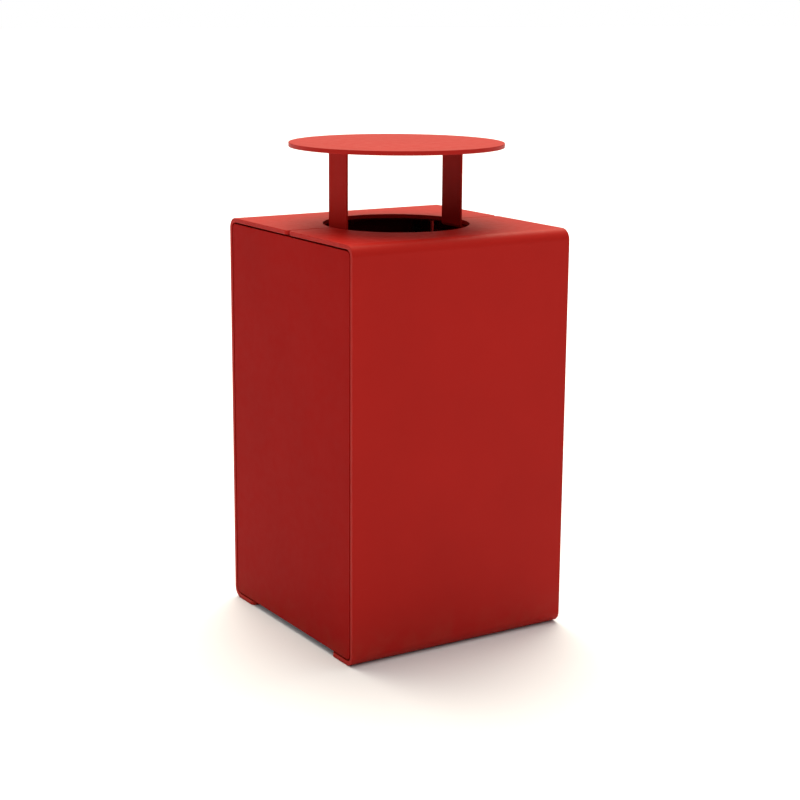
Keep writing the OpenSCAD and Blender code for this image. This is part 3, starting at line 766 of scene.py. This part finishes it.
def button_screw(name, height, place, shank_r, head_r, head_h, across):
    """A screw on its tip: a plain shank and a domed head with a hexagon socket."""
    neck = height - head_h
    dome = [(head_r * math.cos(a), neck + head_h * (0.35 + 0.65 * math.sin(a)))
            for a in [math.radians(20 * i) for i in range(4)]]

    def socket(t):
        return hex_radius(across, t)

    start = max(neck, LEAST_NECK)
    depth = height - head_h * SOCKET_DEPTH
    rows = [(0, 0), (shank_r - SCREW_TIP, 0), (shank_r, SCREW_TIP), (shank_r, start),
            (head_r, start)]
    rows += dome + [(across * 0.62, height), (socket, height - 0.2 * MM), (socket, depth),
                    (0, depth - 0.4 * MM)]
    return turned(name, rows, 48, place)


def spacer(name, height, place):
    outer, bore = 7 * MM, M6["r"] + 0.5 * MM
    profile = [(bore, 0), (outer, 0), (outer, height), (bore, height)]
    return turned(name, rounded_corners(profile, FINE_EDGE_R, 3), 48, place)


def make_fasteners(node, body, longest, make):
    """A plated fastener in each solid of a node."""
    obj = in_each_solid(node, longest, make)
    finish_piece(obj, zinc_fastener, body, "zinc_fastener", node)


def make_studs(node, screw):
    make_fasteners(node, "root", True, lambda *at: stud(*at, screw))


def make_nuts(node, screw):
    sizes = screw["across"], screw["r"], screw["flange"]
    make_fasteners(node, "root", False, lambda *at: hex_nut(*at, *sizes))


def make_screws(node, body, longest, shank_r, head_r, head_h):
    sizes = shank_r, head_r, head_h, head_r * SOCKET_ACROSS
    make_fasteners(node, body, longest, lambda *at: button_screw(*at, *sizes))


# ---- inner frame ----

def make_folded(node, material, slot):
    """The tray or the top panel: folded sheet with its edges broken."""
    finish_piece(refined(node, SHEET_EDGE_R), material, "root", slot, node)


def make_upright(node):
    centre, size = centre_of(node), size_of(node)
    sx, sy = math.copysign(1, centre.x), math.copysign(1, centre.y)
    heel = centre + Vector((sx * size.x / 2, sy * size.y / 2, 0))
    obj = plate(detail_name(node), [angle_outline(size.x, ANGLE_T)], size.z, FINE_EDGE_R, 2, (),
                lambda p: heel + Vector((-sx * p.x, -sy * p.y, p.z)))
    finish_piece(obj, coat_frame, "root", "red_frame", node)


# ---- weld beads ----

BEAD_RIPPLE = 1.6 * MM
STILE_BEAD_R, LUG_BEAD_R, LINER_BEAD_R = 1.8 * MM, 2 * MM, 1.3 * MM


def bead(name, start, end, r):
    """A bead of weld along a line, with the ripples of its pool and round ends."""
    count = max(int((end - start).length / BEAD_RIPPLE * 4), 8)
    path = [start.lerp(end, i / count) for i in range(count + 1)]
    length = (end - start).length

    def radius(along):
        from_end = min(along, length - along) / r
        round_off = math.sqrt(max(1 - (1 - min(from_end, 1)) ** 2, 0.02))
        return r * round_off * (1 + 0.08 * math.sin(2 * math.pi * along / BEAD_RIPPLE))

    return loft(name, tube_rings(path, radius, 10))


def make_beads(name, lines, r, material, body, slot):
    made = [bead(name, Vector(a), Vector(b), r) for a, b in lines]
    finish_piece(joined(name, made), material, body, slot)


# ---- door ----

def make_stile(node):
    """Folded channel, open towards the door, with short runs of weld along both edges."""
    low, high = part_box(node)
    centre, size = (low + high) / 2, high - low
    outline = channel_outline(size.y, size.x, size.x, STILE_T, STILE_BEND_R)
    obj = plate(detail_name(node), [outline], size.z, FINE_EDGE_R, 2, (),
                lambda p: Vector((low.x + p.x, centre.y + p.y, centre.z + p.z)))
    finish_piece(obj, coat_panel, "door", "red_panel", node)
    run, runs, margin = 26 * MM, 5, 12 * MM
    lines = []
    for y in (low.y, high.y):
        for i in range(runs):
            z = low.z + margin + (size.z - 2 * margin - run) * i / (runs - 1)
            lines.append(((high.x, y, z), (high.x, y, z + run)))
    make_beads(node + "_welds", lines, STILE_BEAD_R, coat_panel, "door", "red_panel")


def make_lug(node):
    low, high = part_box(node)
    pin = centre_of(node.replace("lug", "pin"))
    centre = (low + high) / 2
    corners = [(low.x, low.y), (high.x, low.y), (high.x, high.y), (low.x, high.y)]
    free_r = 4 * MM
    outline = rounded_corners(corners, [free_r, 0, 0, free_r], 8)
    obj = plate(detail_name(node), [outline, hole(pin.x, pin.y, PIN_R)], high.z - low.z,
                BAR_EDGE_R, 3, (), lambda p: Vector((p.x, p.y, centre.z + p.z)))
    finish_piece(obj, coat_panel, "door", "red_panel", node)
    lines = [((high.x, y, low.z), (high.x, y, high.z)) for y in (low.y, high.y)]
    make_beads(node + "_welds", lines, LUG_BEAD_R, coat_panel, "door", "red_panel")


def make_pin(node):
    """A headed pivot pin; its head is the end nearer the middle of the body."""
    place, height = standing(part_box(node), True)
    head_r = size_of(node).x / 2
    neck = height - PIN_HEAD_H
    tip, edge, crown = 0.8 * MM, 0.3 * MM, 1 * MM
    rows = [(0, 0), (PIN_R - tip, 0), (PIN_R, tip), (PIN_R, neck)]
    rows += [(head_r - edge, neck), (head_r, neck + edge), (head_r, height - crown),
             (head_r - edge, height - edge), (head_r - crown, height), (0, height)]
    obj = turned(detail_name(node), rows, 48, place)
    finish_piece(obj, steel_bar, "door", "steel_bar", node)


def make_bush(node):
    place, height = standing(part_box(node), False)
    flange_r = size_of(node).x / 2
    neck = height - BUSH_FLANGE_H
    profile = [(BUSH_BORE_R, 0), (BUSH_R, 0), (BUSH_R, neck), (flange_r, neck),
               (flange_r, height), (BUSH_BORE_R, height)]
    rows = rounded_corners(profile, [0.4 * MM, 0.3 * MM, 0, 0.4 * MM, 0.6 * MM, 0.6 * MM], 4)
    obj = turned(detail_name(node), rows, 48, place)
    finish_piece(obj, nylon_black, "root", "nylon_black", node)


def make_buffers():
    """Push-in rubber buffers: a domed bellows in front of the angle, a bulb behind it."""
    def buffer(name, height, place):
        r, neck_r, bulb_r = 8 * MM, M6["r"], 6 * MM
        bulb, body = height - 5 * MM, height - 8 * MM
        rib, waist_r, edge = 1 * MM, r - 1.7 * MM, 0.4 * MM
        first_rib, rib_pitch = 4.5 * MM, 7 * MM
        rows = [(0, 0), (3 * MM, 0.25 * MM), (5.4 * MM, 1 * MM), (6.9 * MM, 2.4 * MM)]
        for i in range(3):
            z = first_rib + i * rib_pitch
            rows += arc(r - rib, z + rib, rib, -60, 60, 4)
            rows += [(waist_r, z + 3.2 * MM), (waist_r, z + 4.4 * MM)]
        rows += [(r, body - 2 * MM), (r, body - edge), (r - edge, body), (neck_r, body),
                 (neck_r, bulb), (bulb_r - edge, bulb), (bulb_r, bulb + 0.5 * MM),
                 (bulb_r * 0.55, height - 0.6 * MM), (bulb_r * 0.4, height), (0, height)]
        return turned(name, rows, 40, place)

    obj = in_each_solid("door_buffers", True, buffer)
    finish_piece(obj, rubber_black, "root", "rubber_black", "door_buffers")


# ---- lock ----

def along_x(node):
    """Matrix that turns a Z-up piece to stand along +X from the low X side of a node's box."""
    low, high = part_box(node)
    base = Vector((low.x, (low.y + high.y) / 2, (low.z + high.z) / 2))
    turn = Matrix(((0, 0, 1), (1, 0, 0), (0, 1, 0))).to_4x4()
    return Matrix.Translation(base) @ turn


def make_lock_housing():
    size = size_of("lock_housing")
    length, head_r = size.x, size.y / 2
    neck, groove = length - LOCK_HEAD_H, 0.25 * MM
    pitch, crest, root = 1.5 * MM, LOCK_BODY_R, LOCK_BODY_R - 0.7 * MM
    plain, bore_edge, under_edge, rim = 1 * MM, 0.5 * MM, 0.2 * MM, 0.45 * MM
    rows = [(LOCK_BORE_R, bore_edge), (LOCK_BORE_R + bore_edge, 0), (crest - plain, 0)]
    for i in range(int((neck - 2 * plain) / pitch)):
        z = plain + i * pitch
        rows += [(root, z), (crest, z + pitch / 2)]
    rows += [(root, neck - plain), (root, neck), (head_r - under_edge, neck)]
    rows += [(head_r, neck + under_edge), (head_r, length - rim), (head_r - rim, length)]
    for r in (head_r - 2 * MM, LOCK_BORE_R + 2 * MM):
        rows += [(r, length), (r - 0.3 * MM, length - groove), (r - 0.6 * MM, length)]
    rows += [(LOCK_BORE_R + 0.4 * MM, length), (LOCK_BORE_R, length - 0.4 * MM)]
    obj = turned(detail_name("lock_housing"), rows, 72, along_x("lock_housing"))
    finish_piece(obj, steel_bar, "door", "steel_bar", "lock_housing")


def make_lock_nut():
    size = size_of("lock_nut")
    across = min(size.y, size.z)
    obj = hex_nut(detail_name("lock_nut"), size.x, along_x("lock_nut"), across, LOCK_BODY_R, 0)
    finish_piece(obj, steel_bar, "door", "steel_bar", "lock_nut")


def make_lock_core():
    obj = refined("lock_core", 0.25 * MM)
    finish_piece(obj, brass_core, "lock", "brass_core", "lock_core")


def make_lock_cam():
    low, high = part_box("lock_cam")
    centre_x = (low.x + high.x) / 2
    axis = Vector((centre_x, centre_of("lock_core").y, centre_of("lock_core").z))
    reach = axis.z - low.z - CAM_HALF_WIDTH
    side = math.degrees(math.acos(CAM_HALF_WIDTH / CAM_BOSS_R))
    outline = arc(0, 0, CAM_BOSS_R, -side, 180 + side, 40)
    outline += arc(0, -reach, CAM_HALF_WIDTH, 180, 360, 20)
    obj = plate(detail_name("lock_cam"), [outline], high.x - low.x, SHEET_EDGE_R, 3, (),
                lambda p: axis + Vector((p.z, p.x, p.y)))
    finish_piece(obj, zinc_fastener, "lock", "zinc_fastener", "lock_cam")


def make_lock_keeper():
    """Folded bracket: a foot on the upright and a lip that the cam turns in behind."""
    low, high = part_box("lock_keeper")
    centre = (low + high) / 2
    outline = channel_outline(high.x - low.x, high.y - low.y, KEEPER_LIP, KEEPER_T, KEEPER_BEND_R)
    obj = plate(detail_name("lock_keeper"), [outline], high.z - low.z, FINE_EDGE_R, 2, (),
                lambda p: Vector((centre.x + p.y, low.y + p.x, centre.z + p.z)))
    finish_piece(obj, zinc_sheet, "root", "zinc_sheet", "lock_keeper")


# ---- liner and its drop handles ----

LINER_FOOT_R = 3 * MM         # outer radius round the bottom
SWAGE_HEIGHTS = (110 * MM, 300 * MM, 470 * MM)
SWAGE_OUT, SWAGE_HALF = 1.6 * MM, 9 * MM
ROLL_R = 3.75 * MM            # of the wired rim
SEAM_GAP = 12 * MM            # from the bottom or a swage's middle to the end of a seam weld
EYE_SLACK = 0.1 * MM          # between the rod and the bore of an eye


def swage(z):
    """How far the walls stand out at a height, over the stiffening swages."""
    near = min(abs(z - s) for s in SWAGE_HEIGHTS)
    return SWAGE_OUT * (0.5 + 0.5 * math.cos(math.pi * min(near / SWAGE_HALF, 1)))


def liner_section(height):
    """Section of the liner's wall as (offset from the outer face, height): up the outside, round
    the rolled rim and down the inside."""
    roll_x = ROLL_R - LINER_T
    roll_z = height - ROLL_R - 0.25 * MM
    levels = []
    for s in SWAGE_HEIGHTS:
        levels += [s + SWAGE_HALF * i / 6 for i in range(-6, 7)]
    foot = LINER_FOOT_R
    rows = arc(-foot, foot, foot, 270, 360, 5)
    rows += [(swage(z), z) for z in levels]
    meet = math.degrees(math.acos(-roll_x / ROLL_R))
    rows += arc(roll_x, roll_z, ROLL_R, 360 - meet, 540, 22)
    rows += [(swage(z) - LINER_T, z) for z in reversed(levels)]
    return rows + arc(-foot, foot, foot - LINER_T, 360, 270, 5)


def make_liner():
    low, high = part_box("liner")
    rings = []
    for offset, z in liner_section(high.z - low.z):
        half = LINER_HALF + offset
        outline = rectangle(-half, -half, half, half, LINER_R + offset, 10)
        rings.append([Vector((x, y, low.z + z)) for x, y in outline])
    obj = harden(sharpen(loft(detail_name("liner"), rings), 60))
    finish_piece(obj, zinc_liner, "liner", "zinc_liner", "liner")
    levels = (0, *SWAGE_HEIGHTS)
    spans = [(a + SEAM_GAP, b - SEAM_GAP) for a, b in zip(levels, levels[1:])]
    lines = [((0, LINER_HALF, low.z + a), (0, LINER_HALF, low.z + b)) for a, b in spans]
    make_beads("liner_seam_weld", lines, LINER_BEAD_R, zinc_liner, "liner", "zinc_liner")


def make_eyes(node):
    """Two lugs on a wall of the liner, bored for the ends of the drop handle."""
    rod = node.replace("_eyes", "")
    side = math.copysign(1, centre_of(node).x)
    axis_x = abs(max(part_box(rod), key=lambda v: abs(v.x)).x) - ROD_R
    made, lines = [], []
    for low, high in solids(node):
        centre = (low + high) / 2
        wall = min(abs(low.x), abs(high.x))
        back = wall - axis_x
        half = (high.z - low.z) / 2
        outline = [(back, -half), *arc(0, 0, EYE_R, -90, 90, 16), (back, half)]
        made.append(plate(node, [outline, hole(0, 0, ROD_R + EYE_SLACK)], high.y - low.y,
                          BAR_EDGE_R, 3, (),
                          lambda p: Vector((side * (axis_x + p.x), centre.y + p.z,
                                            centre.z + p.y))))
        for y in (low.y, high.y):
            lines.append(((side * wall, y, low.z + 1 * MM), (side * wall, y, high.z - 1 * MM)))
    obj = harden(joined(detail_name(node), made))
    finish_piece(obj, zinc_liner, "liner", "zinc_liner", node)
    make_beads(node + "_welds", lines, LINER_BEAD_R, zinc_liner, "liner", "zinc_liner")


def make_handle(node):
    """A drop handle of one rod, bent four times, with chamfered ends."""
    low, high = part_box(node)
    side = math.copysign(1, low.x)
    x = side * (max(abs(low.x), abs(high.x)) - ROD_R)
    top, bottom = high.z - ROD_R, low.z + ROD_R
    corners = [(x, low.y, top), (x, -ROD_HALF, top), (x, -ROD_HALF, bottom),
               (x, ROD_HALF, bottom), (x, ROD_HALF, top), (x, high.y, top)]
    path = rounded_path([Vector(c) for c in corners], ROD_BEND_R, 10)
    chamfer = 0.8 * MM
    path.insert(1, path[0].lerp(path[1], chamfer / (path[1] - path[0]).length))
    path.insert(-1, path[-1].lerp(path[-2], chamfer / (path[-2] - path[-1]).length))
    length = path_length(path)

    def radius(along):
        return ROD_R - max(chamfer - min(along, length - along), 0)

    obj = sharpen(loft(detail_name(node), tube_rings(path, radius, 28)))
    finish_piece(obj, steel_bar, node, "steel_bar", node)


# ---- camera, light and floor ----

CAMERA_AZIMUTH = -32.19       # degrees round from the front
CAMERA_ELEVATION = 13.06
CAMERA_ROLL = 0.407
CAMERA_DISTANCE = 3.2594      # from the middle of the body, along the view
CAMERA_SIDE = 0.00967         # sideways and up from that middle
CAMERA_RISE = 0.03872
CAMERA_LENS = 77.51
SKY_LOW, SKY_HIGH = 0.05, 1.0  # brightness of the studio at the horizon and overhead
SKY_FULL = 0.75               # sine of the elevation from which it is brightest
SKY_TINT = (1.0, 0.93, 0.80, 1.0)
BACKDROP = 1.0                # brightness that the camera sees behind the floor
SUN_STRENGTH = 4.9
SUN_TINT = (1.0, 0.92, 0.70)
SUN_FROM = (0.25, 0.5, 1.0)   # overhead and a little from behind
SUN_SPREAD = 60               # degrees across, for soft shadows
FLOOR_TONE = (0.72, 0.74, 0.84)
FLOOR_HALF = 60.0
FLOOR_GAP = 0.5 * MM          # keeps the floor off the bottom faces of the bin


def make_camera():
    a, e = math.radians(CAMERA_AZIMUTH), math.radians(CAMERA_ELEVATION)
    back = Vector((math.sin(a) * math.cos(e), -math.cos(a) * math.cos(e), math.sin(e)))
    right = Vector((0, 0, 1)).cross(back).normalized()
    up = back.cross(right)
    roll = math.radians(CAMERA_ROLL)
    x_axis = right * math.cos(roll) + up * math.sin(roll)
    y_axis = up * math.cos(roll) - right * math.sin(roll)
    data = bpy.data.cameras.new("camera")
    data.lens = CAMERA_LENS
    data.clip_end = 200
    camera = bpy.data.objects.new("camera", data)
    place = BODY_MIDDLE + back * CAMERA_DISTANCE + x_axis * CAMERA_SIDE + y_axis * CAMERA_RISE
    axes = Matrix((x_axis, y_axis, back)).transposed().to_4x4()
    camera.matrix_world = Matrix.Translation(place) @ axes
    SCENE.collection.objects.link(camera)
    SCENE.camera = camera


def make_world():
    """A studio that is brighter overhead, behind a plain white backdrop."""
    world = bpy.data.worlds.new("studio")
    world.use_nodes = True
    tree = world.node_tree
    direction = tree.nodes.new("ShaderNodeTexCoord")
    split = tree.nodes.new("ShaderNodeSeparateXYZ")
    ramp = tree.nodes.new("ShaderNodeMapRange")
    ramp.interpolation_type = "SMOOTHSTEP"
    ramp.inputs["From Max"].default_value = SKY_FULL
    ramp.inputs["To Min"].default_value = SKY_LOW
    ramp.inputs["To Max"].default_value = SKY_HIGH
    sky = tree.nodes["Background"]
    sky.inputs["Color"].default_value = SKY_TINT
    backdrop = tree.nodes.new("ShaderNodeBackground")
    backdrop.inputs["Color"].default_value = (1, 1, 1, 1)
    backdrop.inputs["Strength"].default_value = BACKDROP
    path = tree.nodes.new("ShaderNodeLightPath")
    choice = tree.nodes.new("ShaderNodeMixShader")
    link = tree.links.new
    link(direction.outputs["Generated"], split.inputs[0])
    link(split.outputs["Z"], ramp.inputs["Value"])
    link(ramp.outputs["Result"], sky.inputs["Strength"])
    link(path.outputs["Is Camera Ray"], choice.inputs[0])
    link(sky.outputs[0], choice.inputs[1])
    link(backdrop.outputs[0], choice.inputs[2])
    link(choice.outputs[0], tree.nodes["World Output"].inputs["Surface"])
    SCENE.world = world


def make_sun():
    data = bpy.data.lights.new("overhead", "SUN")
    data.energy = SUN_STRENGTH
    data.color = SUN_TINT
    data.angle = math.radians(SUN_SPREAD)
    sun = bpy.data.objects.new("overhead", data)
    sun.rotation_euler = Vector(SUN_FROM).to_track_quat("Z", "Y").to_euler()
    SCENE.collection.objects.link(sun)


def make_floor():
    n = Nodes("pale_floor")
    cloud = n.remap(n.noise(3.0, 3.0), 0.3, 0.7)
    tone = n.mix(cloud, shade(FLOOR_TONE, 1.0), shade(FLOOR_TONE, 1.02))
    n.set(Base_Color=tone, Roughness=0.9, Specular_IOR_Level=0.1)
    bm = bmesh.new()
    bmesh.ops.create_grid(bm, x_segments=4, y_segments=4, size=FLOOR_HALF)
    floor = new_object("floor", bm)
    floor.location.z = -FLOOR_GAP
    floor.data.materials.append(n.material)


make_camera()
make_world()
make_sun()
make_floor()
SCENE.view_settings.view_transform = "Standard"
SCENE.view_settings.look = "None"


# ---- the bin ----

lower_pin = centre_of("lower_hinge_pin")
lock = centre_of("lock_housing")
make_shell("front_shell", -1, [])
make_shell("back_shell", 1, [(lower_pin.x, lower_pin.y)])
make_side_panel("left_side_panel", "root", [])
make_side_panel("door_panel", "door", [(lock.y, lock.z, size_of("lock_housing").y / 2)])
make_roof()
make_post("left_post")
make_post("right_post")

make_folded("base_tray", zinc_sheet, "zinc_sheet")
make_folded("top_panel", coat_frame, "red_frame")
for corner in ("front_left", "front_right", "back_left", "back_right"):
    make_upright("upright_" + corner)

for group in ("front_shell_studs", "back_shell_studs", "roof_studs", "post_studs"):
    make_studs(group, M8)
make_studs("side_panel_studs", M6)
for group in ("shell_nuts", "roof_nuts", "post_nuts"):
    make_nuts(group, M8)
make_nuts("side_panel_nuts", M6)
make_fasteners("side_panel_spacers", "root", True, spacer)

make_stile("door_hinge_stile")
make_stile("door_lock_stile")
for level in ("upper", "lower"):
    make_lug(level + "_hinge_lug")
    make_pin(level + "_hinge_pin")
    make_bush(level + "_hinge_bush")
make_buffers()

make_lock_housing()
make_lock_nut()
make_lock_core()
make_lock_cam()
make_lock_keeper()
make_screws("cam_screw", "lock", False, 0, 6 * MM, 4 * MM)
make_screws("keeper_screws", "root", True, 2.5 * MM, 4 * MM, 4 * MM)

make_liner()
for side in ("left", "right"):
    make_eyes(side + "_handle_eyes")
    make_handle(side + "_handle")
